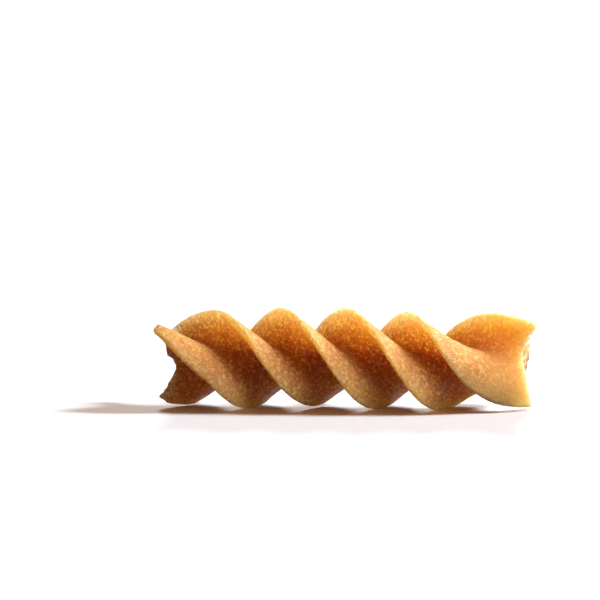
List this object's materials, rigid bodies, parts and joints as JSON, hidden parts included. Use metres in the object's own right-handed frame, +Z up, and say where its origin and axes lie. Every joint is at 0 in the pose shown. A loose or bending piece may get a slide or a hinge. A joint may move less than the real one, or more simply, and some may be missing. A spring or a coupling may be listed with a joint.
{
  "type": "dry fusilli pasta piece",
  "caption": "Dry wholewheat fusilli piece: a short pasta strip with curled blades that wind around its axis, cut unevenly at both ends, lying on its side.",
  "frame": {"origin": "on the surface that the piece lies on, below the middle of its bounding box", "axes": "+X along the piece, +Z up, -Y towards the side that the picture shows"},
  "size_m": [0.0382, 0.0102, 0.01],
  "materials": {
    "pasta": "dry wholewheat pasta: matt golden brown, finely grained, with small darker bran specks, slightly translucent at thin edges, rough and paler where it was cut"
  },
  "bodies": {
    "root": {"fusillo": "pasta"}
  },
  "joints": []
}
